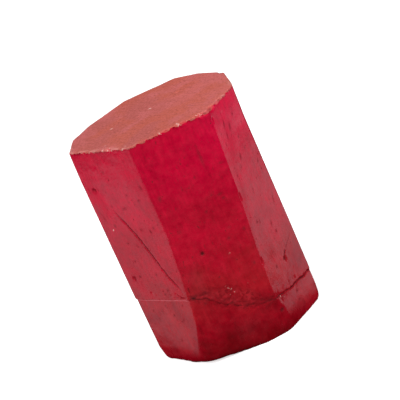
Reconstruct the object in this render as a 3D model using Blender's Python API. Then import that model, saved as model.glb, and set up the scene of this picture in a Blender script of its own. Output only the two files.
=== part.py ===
"""Raw ruby crystal: one natural six-sided corundum prism, standing on its broken lower end.

Metres, +Z along the crystal's long axis, origin at the centre of the base.
The widest prism face is the front (-Y), and a fracture runs all round the lower third.
"""
import bisect
import math
import random

import bmesh
import bpy
from mathutils import Matrix, Vector

MM = 0.001

# ---- driving dimensions, in millimetres ----
HEIGHT = 39.2            # base to the flat upper end
EDGE_WEAR = 0.38         # half width of the worn strip along each long edge
WORN_EDGE = "front_right"            # the long edge that is worn round below the fracture
WORN_EDGE_EXTRA = [(0.0, 1.4), (4.0, 1.2), (6.4, 0.0), (HEIGHT, 0.0)]     # its extra half width by height
WORN_EDGE_TURNS = (0.25, 0.5, 0.75)  # where the points between its two sides lie
RIM_WEAR = 0.18          # how far the upper rim is rubbed back
RIM_NIBBLE = 0.3         # how much deeper the rim's small chips go
RIM_BAND = 1.0           # height of the band under the upper rim that the chips reach into
BAND_LIP = 0.4           # half height of the broken edge along the fracture
BAND_REACH = 1.3         # half height of the rough band, where the faces are flat again
BAND_MIDDLE = 0.7        # share of the band's upper half where its hollow is deepest
CRUSH_DEPTH = 0.12       # depth of that hollow where the band is fully crushed
BASE_BEVEL = 1.1         # height of the worn lower rim
BASE_BEVEL_RINGS = ((0.0, 1.0), (0.3, 0.5), (1.0, 0.08))     # as (share of its height, share of its depth)
UNDERCUT_HEIGHT = 3.8    # height over which the block's corner curves in
FACE_STEPS = 4           # rings between the rough band and the upper rim
SPACING = 2.0            # spacing of the points along a side
FRONT_SPACING = 0.9      # the same along the front, where the fracture is roughest
GROOVE_PROUD = 0.3       # how far a cutter stands out of the face it cuts
SEED = 7

# Each long edge of the prism, as (height, x, y) points from the base upwards.
# They run counter-clockwise seen from above, from the left edge of the front.
LONG_EDGES = {
    "left": [(0.0, -13.43, -1.51), (3.0, -13.88, -1.96), (12.0, -13.96, -2.26), (34.0, -14.08, -2.36),
             (39.2, -13.93, -2.46)],
    "front_left": [(0.0, -7.5, -11.85), (6.0, -6.7, -12.2), (12.4, -5.83, -12.36), (18.0, -5.33, -12.46),
                   (24.0, -4.88, -12.56), (33.0, -4.9, -12.62), (39.2, -4.9, -12.62)],
    "front_right": [(0.0, 6.9, -11.8), (4.0, 6.6, -11.8), (8.2, 6.5, -11.75), (15.0, 6.9, -11.7),
                    (24.0, 7.75, -11.65), (33.0, 8.25, -11.6), (39.2, 8.7, -11.56)],
    "right": [(0.0, 13.8, -3.3), (15.0, 13.87, -2.96), (33.0, 13.82, -3.76), (39.2, 14.02, -4.26)],
    "right_back": [(0.0, 13.41, 3.21), (20.0, 13.57, 3.84), (39.2, 13.72, 4.44)],
    "back_right": [(0.0, 9.4, 9.53), (20.0, 9.72, 9.74), (39.2, 10.12, 9.64)],
    "back_mid": [(0.0, 5.4, 12.12), (20.0, 5.82, 12.44), (39.2, 6.22, 12.64)],
    "back_left": [(0.0, -3.4, 11.73), (20.0, -3.08, 11.94), (39.2, -2.78, 12.24)],
    "left_back": [(0.0, -9.89, 6.83), (20.0, -9.78, 6.94), (39.2, -9.68, 7.14)],
    "left_side": [(0.0, -12.77, 2.62), (20.0, -12.93, 2.94), (39.2, -12.83, 3.24)],
}
EDGE_NAMES = list(LONG_EDGES)

# Along each side, named after its first long edge, as (share of the way along the side, value).
FRACTURE = {             # height of the fracture
    "left": [(0, 12.25), (1, 12.2)],
    "front_left": [(0, 12.2), (0.12, 11.6), (0.21, 11.0), (0.33, 9.7), (0.52, 8.3), (0.64, 7.4), (0.83, 6.8),
                   (1, 6.2)],
    "front_right": [(0, 6.2), (0.2, 5.9), (0.5, 5.5), (1, 5.3)],
    "right": [(0, 5.3), (1, 6.4)],
    "right_back": [(0, 6.4), (1, 7.9)],
    "back_right": [(0, 7.9), (1, 9.0)],
    "back_mid": [(0, 9.0), (0.5, 10.2), (1, 10.9)],
    "back_left": [(0, 10.9), (1, 12.0)],
    "left_back": [(0, 12.0), (1, 12.5)],
    "left_side": [(0, 12.5), (1, 12.25)],
}
STEP = {                 # how far the crystal steps in below the fracture
    "left": [(0, 0.18), (1, 0.14)],
    "front_left": [(0, 0.14), (0.4, 0.1), (1, 0.05)],
    "front_right": [(0, 0.05), (1, 0.1)],
    "right": [(0, 0.1), (1, 0.16)],
    "right_back": [(0, 0.16), (1, 0.3)],
    "back_right": [(0, 0.3), (1, 0.34)],
    "back_mid": [(0, 0.34), (1, 0.3)],
    "back_left": [(0, 0.3), (1, 0.34)],
    "left_back": [(0, 0.34), (1, 0.32)],
    "left_side": [(0, 0.32), (1, 0.18)],
}
FOOT = {                 # how far the worn base is set in under the prism
    "left": [(0, 0.5), (0.75, 0.65), (1, 1.5)],
    "front_left": [(0, 2.5), (0.17, 1.9), (0.36, 1.0), (0.54, 0.35), (0.85, 0.0), (1, 0.1)],
    "front_right": [(0, 0.1), (0.7, 0.1), (1, 0.45)],
    "right": [(0, 0.45), (0.3, 0.6), (1, 0.9)],
    "right_back": [(0, 0.9), (1, 1.0)],
    "back_right": [(0, 1.0), (1, 1.1)],
    "back_mid": [(0, 1.1), (0.6, 0.7), (1, 1.2)],
    "back_left": [(0, 1.2), (1, 0.9)],
    "left_back": [(0, 0.9), (1, 0.8)],
    "left_side": [(0, 0.8), (1, 0.5)],
}
UNDERCUT = {             # how far the lowest part of the block curves in, over a greater height
    "front_left": [(0, 0.0), (0.8, 0.0), (1, 0.35)],
    "front_right": [(0, 0.35), (1, 0.12)],
    "right": [(0, 0.12), (0.5, 0.0), (1, 0.0)],
}
CRUSHED = {              # height of the crushed band above the fracture
    "front_left": [(0, 0.0), (0.08, 0.9), (0.14, 1.1), (0.25, 2.2), (0.41, 3.0), (0.64, 3.3), (0.78, 2.8),
                   (0.89, 1.9), (1, 0.5)],
    "front_right": [(0, 0.5), (0.1, 0.0), (1, 0.0)],
}
ROUGHNESS = {"front_left": 0.22, "front_right": 0.14}     # of the rough band, per side
PLAIN_ROUGHNESS = 0.08
NO_CHANGE = [(0, 0.0), (1, 0.0)]     # for the sides that a table leaves out

# Cracks as (side, depth, half width, [(share, height), ...]).
CRACKS = [
    ("left", 0.35, 0.16, [(0.31, 28.8), (0.4, 26.5), (0.5, 24.0), (0.63, 20.4), (0.72, 17.7), (0.79, 16.1),
                          (0.97, 12.9)]),
    ("front_right", 0.3, 0.14, [(0.52, 9.7), (0.58, 10.2), (0.7, 10.9), (0.86, 12.2)]),
    ("back_mid", 0.4, 0.2, [(0.2, 32.0), (0.34, 27.0), (0.62, 21.5), (0.7, 17.0)]),
    ("left_back", 0.35, 0.18, [(0.3, 22.0), (0.55, 18.5), (0.7, 16.5)]),
]
# Pits and chips as (side, share, height, half size along the face, across it, depth).
HOLLOWS = [
    ("left", 0.146, 32.3, 0.42, 0.5, 0.4),
    ("left", 0.14, 16.1, 0.4, 0.4, 0.25),
    ("left", 0.73, 8.2, 0.3, 0.35, 0.3),
    ("front_left", 0.33, 18.3, 0.42, 0.45, 0.35),
    ("front_left", 0.92, 4.0, 0.42, 0.4, 0.35),
    ("front_left", 0.5, 10.1, 0.9, 0.7, 0.3),
    ("front_left", 0.7, 8.6, 0.7, 0.45, 0.3),
    ("front_left", 0.97, 38.9, 1.1, 0.7, 0.5),
    ("front_left", 0.42, 39.1, 0.6, 0.4, 0.35),
    ("front_left", 0.68, 39.15, 0.5, 0.4, 0.35),
    ("front_right", 0.1, 38.9, 1.0, 0.8, 0.5),
    ("front_right", 0.36, 39.0, 0.7, 0.5, 0.35),
    ("front_right", 0.56, 10.0, 0.3, 0.35, 0.3),
    ("left", 0.73, 39.1, 0.6, 0.35, 0.3),
    ("right", 0.5, 24.0, 0.5, 0.6, 0.4),
    ("right_back", 0.45, 33.0, 0.6, 0.45, 0.4),
    ("right_back", 0.6, 12.5, 0.5, 0.5, 0.4),
    ("right_back", 0.05, 39.0, 0.8, 0.6, 0.4),
    ("back_mid", 0.75, 8.0, 0.6, 0.5, 0.4),
    ("back_left", 0.4, 28.0, 0.7, 0.55, 0.45),
    ("left_side", 0.5, 30.0, 0.4, 0.6, 0.35),
]
# Small pits in the flat upper end, as (x, y, half size, depth).
TOP_PITS = [(-7.2, -5.0, 0.4, 0.25), (-1.55, 0.5, 0.4, 0.25), (3.2, -2.0, 0.3, 0.2), (5.8, 4.2, 0.5, 0.25)]
PIT_PROPORTION = 0.7                 # width of these pits for their length
LUMP_LOW, LUMP_HIGH = 0.8, 1.15      # how far a cutter's points stray from a ball
CRACK_END = 0.4                      # width and depth of a crack at its ends, for those in its middle
CRACK_FLARE = 2.0                    # how much wider a crack's cutter is outside the face

RUBY_RED = (0.42, 0.012, 0.03, 1.0)
RUBY_ROUGHNESS = 0.38


def clear_scene():
    for item in list(bpy.data.objects):
        bpy.data.objects.remove(item, do_unlink=True)


def between(points, place):
    """The values of a line of points at a place along it, straight between the two points around it."""
    keys = [point[0] for point in points]
    index = min(max(bisect.bisect(keys, place) - 1, 0), len(points) - 2)
    low, high = points[index], points[index + 1]
    share = (place - low[0]) / (high[0] - low[0])
    return [a + share * (b - a) for a, b in zip(low[1:], high[1:])]


def next_edge(edge):
    return EDGE_NAMES[(EDGE_NAMES.index(edge) + 1) % len(EDGE_NAMES)]


def edge_before(edge):
    return EDGE_NAMES[EDGE_NAMES.index(edge) - 1]


def columns():
    """Every point of the outline as (side, share of the way along it, turn round the edge that follows)."""
    found = []
    for side in EDGE_NAMES:
        start, end, _ = side_frame(side, HEIGHT)
        spacing = FRONT_SPACING if side == "front_left" else SPACING
        count = max(2, round((end - start).length / spacing))
        found += [(side, step / count, 0.0) for step in range(count + 1)]
        if next_edge(side) == WORN_EDGE:
            found += [(side, 1.0, turn) for turn in WORN_EDGE_TURNS]
    return found


def side_frame(side, height):
    """The two ends of a side at a height, and the direction along it."""
    start = Vector(between(LONG_EDGES[side], height))
    end = Vector(between(LONG_EDGES[next_edge(side)], height))
    return start, end, (end - start).normalized()


def corner_shift(before, after, inset):
    """How far a corner moves along its next side when both of its sides move in."""
    return inset * math.tan(before.angle(after) / 2)


def edge_wear(edge, height):
    """Half the width of the worn strip along a long edge, at a height."""
    extra = between(WORN_EDGE_EXTRA, height)[0] if edge == WORN_EDGE else 0.0
    return EDGE_WEAR + extra


def face_place(side, share, height, inset=0.0, worn=1.0):
    """A point on a side of the prism, set in from it, and the side's outward direction."""
    start, end, along = side_frame(side, height)
    before, after = side_frame(edge_before(side), height)[2], side_frame(next_edge(side), height)[2]
    outward = Vector((along.y, -along.x))
    first = worn * edge_wear(side, height) + corner_shift(before, along, inset)
    last = (end - start).length - worn * edge_wear(next_edge(side), height)
    last -= corner_shift(along, after, inset)
    place = start + along * (first + share * (last - first)) - outward * inset
    return Vector((place.x, place.y, height)), Vector((outward.x, outward.y, 0))


def outline_place(side, share, turn, height, inset):
    """A point of a ring: on a side, or on the curve round the worn edge that follows it."""
    place = face_place(side, share, height, inset)[0]
    if not turn:
        return place
    corner = face_place(side, share, height, inset, worn=0.0)[0]
    after = face_place(next_edge(side), 0.0, height, inset)[0]
    return (1 - turn) ** 2 * place + 2 * turn * (1 - turn) * corner + turn**2 * after


def ring_table(side, share, rng):
    """The (height, inset) of every ring at one place of the outline, from the base to the upper rim."""
    fracture, = between(FRACTURE[side], share)
    step, = between(STEP[side], share)
    foot, = between(FOOT[side], share)
    undercut, = between(UNDERCUT.get(side, NO_CHANGE), share)
    crushed, = between(CRUSHED.get(side, NO_CHANGE), share)
    rough = ROUGHNESS.get(side, PLAIN_ROUGHNESS)
    jag = rng.uniform(-1, 1) * rough
    hollow = CRUSH_DEPTH * min(1.0, crushed)

    def below(height, foot_share=0.0):
        curve = max(0.0, 1 - height / UNDERCUT_HEIGHT) ** 2
        return height, step + foot_share * foot + curve * undercut

    bottom = fracture - BAND_REACH
    top = fracture + max(BAND_REACH, crushed + BAND_LIP)
    rings = [below(share_up * BASE_BEVEL, depth) for share_up, depth in BASE_BEVEL_RINGS]
    rings += [below((BASE_BEVEL + bottom) / 2), below(bottom)]
    rings += [
        (fracture - BAND_LIP + jag, step + rng.uniform(0, rough)),
        (fracture + jag / 3, step + rough + rng.uniform(0, rough)),
        (fracture + BAND_LIP + jag, hollow + rng.uniform(0, rough)),
        (fracture + BAND_MIDDLE * (top - fracture), hollow + rng.uniform(0, rough / 2)),
        (top, 0.0),
    ]
    high = HEIGHT - RIM_BAND
    rings += [(top + (high - top) * turn / FACE_STEPS, 0.0) for turn in range(1, FACE_STEPS + 1)]
    nibble = rng.uniform(0, 1) ** 2 * RIM_NIBBLE
    rings += [(HEIGHT - RIM_WEAR - nibble, nibble / 3), (HEIGHT, RIM_WEAR + nibble)]
    return rings


def prism_mesh(rng):
    """The crystal's skin: rings of points from the base to the upper rim, capped flat at both ends."""
    skin = bmesh.new()
    places = columns()
    tables = [ring_table(side, share, rng) for side, share, _ in places]
    rings = []
    for level in range(len(tables[0])):
        points = [outline_place(*place, *table[level]) for place, table in zip(places, tables)]
        rings.append([skin.verts.new(point) for point in points])
    for lower, upper in zip(rings, rings[1:]):
        for index in range(len(lower)):
            after = (index + 1) % len(lower)
            skin.faces.new((lower[index], lower[after], upper[after], upper[index]))
    skin.faces.new(list(reversed(rings[0])))
    skin.faces.new(rings[-1])
    return skin


def add_object(name, mesh, collection):
    """A closed shape drawn in millimetres, as an object in metres with its faces pointing out."""
    mesh.normal_update()
    bmesh.ops.recalc_face_normals(mesh, faces=mesh.faces)
    bmesh.ops.scale(mesh, verts=mesh.verts, vec=(MM, MM, MM))
    data = bpy.data.meshes.new(name)
    mesh.to_mesh(data)
    mesh.free()
    item = bpy.data.objects.new(name, data)
    collection.objects.link(item)
    return item


def add_cutter(name, mesh, collection):
    """A shape to cut away, which isn't part of the crystal."""
    cutter = add_object(name, mesh, collection)
    cutter.hide_render = True
    cutter.display_type = "WIRE"
    return cutter


def groove(side, depth, half_width, points):
    """A V-shaped cutter along a crack, which thins out towards both of its ends."""
    mesh = bmesh.new()
    profiles = []
    for index, (share, height) in enumerate(points):
        place, outward = face_place(side, share, height)
        ahead = face_place(side, *points[min(index + 1, len(points) - 1)])[0]
        behind = face_place(side, *points[max(index - 1, 0)])[0]
        across = (ahead - behind).normalized().cross(outward)
        at_end = index in (0, len(points) - 1)
        taper = CRACK_END if at_end else 1.0
        flare = across * CRACK_FLARE * taper * half_width
        edges = (place + outward * GROOVE_PROUD + flare,
                 place + outward * GROOVE_PROUD - flare,
                 place - outward * taper * depth)
        profiles.append([mesh.verts.new(point) for point in edges])
    for first, second in zip(profiles, profiles[1:]):
        for index in range(3):
            after = (index + 1) % 3
            mesh.faces.new((first[index], first[after], second[after], second[index]))
    mesh.faces.new(profiles[0])
    mesh.faces.new(profiles[-1])
    return mesh


def lump(place, outward, half_length, half_width, depth, rng):
    """An irregular lump whose lower half sinks into a face, to cut a pit or a chip."""
    mesh = bmesh.new()
    bmesh.ops.create_icosphere(mesh, subdivisions=1, radius=1.0)
    for point in mesh.verts:
        point.co *= rng.uniform(LUMP_LOW, LUMP_HIGH)
    sideways = Vector((1, 0, 0)) if outward.z else Vector((0, 0, 1)).cross(outward)
    upwards = outward.cross(sideways)
    turn = Matrix((sideways, upwards, outward)).transposed()
    for point in mesh.verts:
        stretched = Vector((point.co.x * half_length, point.co.y * half_width, point.co.z * depth))
        point.co = place + turn @ stretched
    return mesh


def add_cutters(collection, rng):
    for number, (side, depth, half_width, points) in enumerate(CRACKS, 1):
        add_cutter(f"crack_{number}", groove(side, depth, half_width, points), collection)
    for number, (side, share, height, half_length, half_width, depth) in enumerate(HOLLOWS, 1):
        place, outward = face_place(side, share, height)
        add_cutter(f"hollow_{number}", lump(place, outward, half_length, half_width, depth, rng), collection)
    for number, (x, y, half_size, depth) in enumerate(TOP_PITS, 1):
        half_width = PIT_PROPORTION * half_size
        mesh = lump(Vector((x, y, HEIGHT)), Vector((0, 0, 1)), half_size, half_width, depth, rng)
        add_cutter(f"top_pit_{number}", mesh, collection)


def ruby():
    """The crystal's own material: dense, slightly glossy crimson."""
    material = bpy.data.materials.new("ruby")
    material.use_nodes = True
    shader = material.node_tree.nodes["Principled BSDF"]
    shader.inputs["Base Color"].default_value = RUBY_RED
    shader.inputs["Roughness"].default_value = RUBY_ROUGHNESS
    shader.inputs["Metallic"].default_value = 0.0
    return material


def main():
    clear_scene()
    rng = random.Random(SEED)
    scene_collection = bpy.context.scene.collection
    crystal = add_object("ruby_crystal", prism_mesh(rng), scene_collection)
    crystal.data.materials.append(ruby())
    cutters = bpy.data.collections.new("cutters")
    scene_collection.children.link(cutters)
    add_cutters(cutters, rng)
    cut = crystal.modifiers.new("cracks, pits and chips", "BOOLEAN")
    cut.operation = "DIFFERENCE"
    cut.solver = "EXACT"
    cut.operand_type = "COLLECTION"
    cut.collection = cutters


main()
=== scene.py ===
"""The looks of the raw ruby crystal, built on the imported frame.

The crystal's skin is drawn again as one fine mesh on the solid's own outline: worn edges, a fracture round
the lower third, cracks, pits and chips. Lengths in the tables and in the shape's functions are millimetres;
the frame, the camera and the lights are in metres.
"""

import math

import bpy
import numpy as np
from mathutils import Matrix, Vector, geometry, noise


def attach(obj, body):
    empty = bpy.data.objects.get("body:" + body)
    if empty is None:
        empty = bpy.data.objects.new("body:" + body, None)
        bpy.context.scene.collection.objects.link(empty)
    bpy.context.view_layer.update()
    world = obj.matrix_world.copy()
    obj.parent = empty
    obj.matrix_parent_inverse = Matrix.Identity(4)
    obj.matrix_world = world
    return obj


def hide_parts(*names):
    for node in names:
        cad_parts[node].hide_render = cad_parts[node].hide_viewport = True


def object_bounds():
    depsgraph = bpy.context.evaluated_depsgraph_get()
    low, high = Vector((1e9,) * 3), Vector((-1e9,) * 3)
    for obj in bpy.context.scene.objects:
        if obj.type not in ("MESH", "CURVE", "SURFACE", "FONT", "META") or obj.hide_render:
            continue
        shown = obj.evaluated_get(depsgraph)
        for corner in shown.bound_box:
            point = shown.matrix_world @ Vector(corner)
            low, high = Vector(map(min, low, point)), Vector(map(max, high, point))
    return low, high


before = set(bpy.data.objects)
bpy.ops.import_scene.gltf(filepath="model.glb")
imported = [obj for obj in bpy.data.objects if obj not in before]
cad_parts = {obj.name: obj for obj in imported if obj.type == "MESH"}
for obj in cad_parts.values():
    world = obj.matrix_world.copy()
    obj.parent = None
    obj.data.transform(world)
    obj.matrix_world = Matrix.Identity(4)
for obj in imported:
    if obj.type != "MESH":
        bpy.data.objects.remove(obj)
CAD_LOW, CAD_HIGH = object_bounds()

MM = 0.001
HEIGHT = CAD_HIGH.z / MM

# ---- the prism ----
# Each long edge, the same as the solid's, as (height, x, y), counter-clockwise from above. A side is called
# after the edge where it starts, and a share is a place along it, from 0 there to 1 at the next edge.
LONG_EDGES = {
    "left": [(0.0, -13.43, -1.51), (3.0, -13.88, -1.96), (12.0, -13.96, -2.26), (34.0, -14.08, -2.36),
             (39.2, -13.93, -2.46)],
    "front_left": [(0.0, -7.5, -11.85), (6.0, -6.7, -12.2), (12.4, -5.83, -12.36), (18.0, -5.33, -12.46),
                   (24.0, -4.88, -12.56), (33.0, -4.9, -12.62), (39.2, -4.9, -12.62)],
    "front_right": [(0.0, 6.9, -11.8), (4.0, 6.6, -11.8), (8.2, 6.5, -11.75), (15.0, 6.9, -11.7),
                    (24.0, 7.75, -11.65), (33.0, 8.25, -11.6), (39.2, 8.7, -11.56)],
    "right": [(0.0, 13.8, -3.3), (15.0, 13.87, -2.96), (33.0, 13.82, -3.76), (39.2, 14.02, -4.26)],
    "right_back": [(0.0, 13.41, 3.21), (20.0, 13.57, 3.84), (39.2, 13.72, 4.44)],
    "back_right": [(0.0, 9.4, 9.53), (20.0, 9.72, 9.74), (39.2, 10.12, 9.64)],
    "back_mid": [(0.0, 5.4, 12.12), (20.0, 5.82, 12.44), (39.2, 6.22, 12.64)],
    "back_left": [(0.0, -3.4, 11.73), (20.0, -3.08, 11.94), (39.2, -2.78, 12.24)],
    "left_back": [(0.0, -9.89, 6.83), (20.0, -9.78, 6.94), (39.2, -9.68, 7.14)],
    "left_side": [(0.0, -12.77, 2.62), (20.0, -12.93, 2.94), (39.2, -12.83, 3.24)],
}
SIDES = list(LONG_EDGES)

# Tables along each side, as (share, value). A list that stops short of 1 runs on to the next side's first
# value, and a side that isn't in a table has nothing of it, or its plain value.
FRACTURE = {             # height of the fracture
    "left": [(0, 12.25)],
    "front_left": [(0, 12.2), (0.12, 11.6), (0.21, 11.0), (0.33, 9.7), (0.52, 8.3), (0.64, 7.4),
                   (0.83, 6.8)],
    "front_right": [(0, 6.2), (0.2, 5.9), (0.5, 5.5)],
    "right": [(0, 5.3)],
    "right_back": [(0, 6.4)],
    "back_right": [(0, 7.9)],
    "back_mid": [(0, 9.0), (0.5, 10.2)],
    "back_left": [(0, 10.9)],
    "left_back": [(0, 12.0)],
    "left_side": [(0, 12.5)],
}
STEP = {                 # how far the crystal steps in below the fracture
    "left": [(0, 0.18)],
    "front_left": [(0, 0.14), (0.4, 0.1)],
    "front_right": [(0, 0.05)],
    "right": [(0, 0.1)],
    "right_back": [(0, 0.16)],
    "back_right": [(0, 0.3)],
    "back_mid": [(0, 0.34)],
    "back_left": [(0, 0.3)],
    "left_back": [(0, 0.34)],
    "left_side": [(0, 0.32)],
}
FOOT = {                 # how far the worn base is set in under the prism
    "left": [(0, 0.5), (0.25, 1.0), (0.6, 0.85), (0.85, 0.8), (1, 1.9)],
    "front_left": [(0, 2.5), (0.08, 1.6), (0.2, 1.1), (0.36, 0.75), (0.54, 0.45), (0.85, 0.0)],
    "front_right": [(0, 0.1), (0.7, 0.1)],
    "right": [(0, 0.45), (0.3, 0.6)],
    "right_back": [(0, 0.9)],
    "back_right": [(0, 1.0)],
    "back_mid": [(0, 1.1), (0.6, 0.7)],
    "back_left": [(0, 1.2)],
    "left_back": [(0, 0.9)],
    "left_side": [(0, 0.8)],
}
UNDERCUT = {             # how far the lowest part of the block curves in, over a greater height
    "front_left": [(0, 0.0), (0.75, 0.0)],
    "front_right": [(0, 0.5), (0.5, 0.4)],
    "right": [(0, 0.12), (0.5, 0.0), (1, 0.0)],
}
OPENING = {              # how far open the fracture is: 0 is a closed ledge, 1 an open crack
    "front_left": [(0, 0.5), (0.05, 0.5), (0.12, 0.03), (0.6, 0.0), (0.9, 0.06), (1, 0.4)],
    "front_right": [(0, 0.7), (0.2, 1.0), (1, 1.0)],
    "right": [(0, 0.9)],
    "right_back": [(0, 0.4)],
    "back_right": [(0, 0.2)],
    "back_mid": [(0, 0.3)],
    "back_left": [(0, 0.8), (1, 0.4)],
    "left_back": [(0, 0.3)],
    "left_side": [(0, 0.1), (1, 0.0)],
}
LEDGE_HIGHLIGHT_STRENGTH = {            # how strong the painted highlight along the edge of the ledge is
    "left_back": [(0, 0.0)],
    "left_side": [(0, 0.7)],
    "left": [(0, 1.0), (0.96, 1.0), (1, 0.0)],
}
RAGGED = {               # how far the line of the fracture wanders up and down
    "left": [(0, 0.06), (0.9, 0.06), (1, 0.3)],
    "front_left": [(0, 0.4), (1, 0.45)],
    "front_right": [(0, 0.4), (0.3, 0.22), (1, 0.22)],
}
PLAIN_RAGGED = 0.18
CRUSHED = {              # height of the crushed band above the fracture
    "front_left": [(0, 0.0), (0.08, 0.9), (0.14, 1.1), (0.25, 2.2), (0.41, 3.0), (0.64, 3.3), (0.78, 2.8),
                   (0.89, 1.9)],
    "front_right": [(0, 0.5), (0.1, 0.0), (1, 0.0)],
}
RUBBLE = {               # how crumbled the band round the fracture is
    "front_left": [(0, 0.6), (1, 1.0)],
    "front_right": [(0, 0.8), (0.3, 0.2), (1, 0.1)],
}
PLAIN_RUBBLE = 0.15
FLAKE_SIZE = {"left": 0.4, "front_right": 0.55}      # against the flakes along the rest of the fracture

# ---- the fine skin ----
SEED = 7
FRONT_SIDES = ("left", "front_left", "front_right")
FRONT_SPACING = 0.2      # between columns on the front sides
BACK_SPACING = 0.32      # and on the others
MIDDLE = 20.0            # height where the sides' lengths are taken for that
OUTLINE_HEIGHT = 9.0     # height whose outline the noise round the sides follows
LOW_ROWS = 36            # rows from the base to the band round the fracture
LOW_ROW_CROWDING = 1.25  # above 1, they crowd towards the base
HIGH_ROWS = 136          # rows from that band to the rim
EDGE_WEAR = 0.38         # half width of the worn strip along each long edge
# Where an edge is worn more, as (height, extra half width).
EXTRA_WEAR = {"front_right": [(0, 1.4), (4.0, 1.2), (6.4, 0.0)],
              "front_left": [(0, 2.2), (3.0, 1.4), (5.0, 0.7), (7.5, 0.0), (26.0, 0.0), (36.0, 0.8)]}
CORNER_STEPS = 3         # columns that round each long edge
WIDE_CORNER_STEPS = {"front_right": 12, "front_left": 6}
UNDERCUT_HEIGHT = 3.8    # up to which the lowest part curves in
BAND = 1.0               # half height of the band round the fracture where the rows run close together
BAND_ROWS = 18           # rows in that band
RIM_ROUND = 0.16         # radius of the worn upper rim
RIM_ROWS = 4             # rows that round it
RIM_BLEND = 0.5          # height over which the upper end's dull colour frays out down the sides
FOOT_FALL = 0.45         # height over which the worn base fades out
BOW = 0.16               # how far the right front side curves back towards its far edge
BOW_START = 0.65         # share of the side where that begins
CAP_SPACING = 0.26       # between points of the upper end
BASE_SPACING = 0.7       # and of the resting face
TRIANGLE_RISE = 0.866    # height of the triangles there, against their sides
CAP_JITTER = 0.15        # how far their points stray, against their spacing
CAP_MARGIN = 0.7         # how far they keep from the outline, against their spacing
GROOVE_DEPTH = 0.16      # of the open fracture
GROOVE_WIDTH = 0.12
CRUMBLE_DEPTH = 0.25     # of the crumbled strip along the fracture
CRUMBLE_REACH = 0.8      # and how far it reaches up and down
CRUSH_DEPTH = 0.1        # of the crushed band
CRUSH_RELIEF = 0.07      # and how much that varies
CRUSH_START = 0.5        # height over which the band sets in above the fracture
CRUSH_END = 0.9          # and over which it ends
BAND_SHADOW_WIDTH = 0.22         # of the broken painted shadow along the band's upper edge
WIDE_SWELL = 0.035       # soft swelling of the faces
FINE_SWELL = 0.012
CRACK_WANDER = 0.12      # how far the cracks stray from their lines
CRACK_REACH = 2.0        # how far from its line a crack can show
RIM_NIBBLES = 1.3        # small chips along each millimetre of the rim
FRONT_NICKS = 3          # small chips down each long edge at the front
BACK_NICKS = 10          # and at the back
FLAKES = 46              # flakes along a fully crumbled side
CUT_MARKED = 0.12        # depth from which a chip is fully marked as one
FAR = 9.0                # stands for the distance where no crack or fracture is near
MARK_NAMES = ("flake", "chip", "dark", "pale", "dull", "upper_end", "rim")

# Cracks as (side, depth, half width, strength, [(share, height), ...]).
CRACKS = [
    ("left", 0.2, 0.3, 0.9, [(0.31, 28.8), (0.4, 26.5), (0.5, 24.0), (0.56, 22.3), (0.63, 20.4), (0.72, 17.7),
                             (0.79, 16.1), (0.9, 14.4), (0.97, 12.9)]),
    ("left", 0.12, 0.22, 0.6, [(0.8, 13.3), (0.88, 12.6), (0.97, 12.3)]),
    ("front_right", 0.07, 0.2, 0.9, [(0.5, 9.9), (0.53, 10.3), (0.59, 10.8), (0.65, 11.3)]),
    ("front_right", 0.03, 0.12, 0.35, [(0.64, 11.2), (0.7, 11.6), (0.81, 12.1), (0.92, 12.7)]),
    ("back_mid", 0.3, 0.3, 1.0, [(0.2, 32.0), (0.34, 27.0), (0.62, 21.5), (0.7, 17.0)]),
    ("left_back", 0.3, 0.3, 1.0, [(0.3, 22.0), (0.55, 18.5), (0.7, 16.5)]),
]
# Pits as (side, share, height, half size, depth).
PITS = [
    ("left", 0.146, 32.3, 0.42, 0.35),
    ("left", 0.14, 16.1, 0.4, 0.2),
    ("left", 0.73, 8.2, 0.3, 0.2),
    ("front_left", 0.33, 18.3, 0.42, 0.3),
    ("front_right", -0.1, 3.9, 0.3, 0.4),
    ("front_right", 0.56, 10.0, 0.3, 0.25),
    ("right", 0.5, 24.0, 0.6, 0.4),
    ("right_back", 0.45, 33.0, 0.6, 0.4),
    ("right_back", 0.6, 12.5, 0.5, 0.4),
    ("back_mid", 0.75, 8.0, 0.6, 0.4),
    ("back_left", 0.4, 28.0, 0.7, 0.45),
    ("left_side", 0.5, 30.0, 0.5, 0.35),
]
# Chips along the upper rim as (side, share, half width, depth).
RIM_CHIPS = [
    ("front_left", 0.97, 1.1, 0.45),
    ("front_right", 0.1, 1.0, 0.6),
    ("front_right", 0.36, 0.7, 0.35),
    ("front_left", 0.42, 0.6, 0.28),
    ("front_left", 0.68, 0.5, 0.3),
    ("left", 0.73, 0.6, 0.3),
    ("back_mid", 0.3, 1.6, 0.15),
    ("left_back", 0.46, 1.1, 0.12),
    ("right_back", 0.02, 0.8, 0.3),
]
# Pits of the upper end as (x, y, half size, depth).
TOP_PITS = [(-7.2, -5.0, 0.4, 0.12), (-1.55, 0.5, 0.4, 0.15), (3.2, -2.0, 0.3, 0.1), (5.8, 4.2, 0.5, 0.12)]
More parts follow.
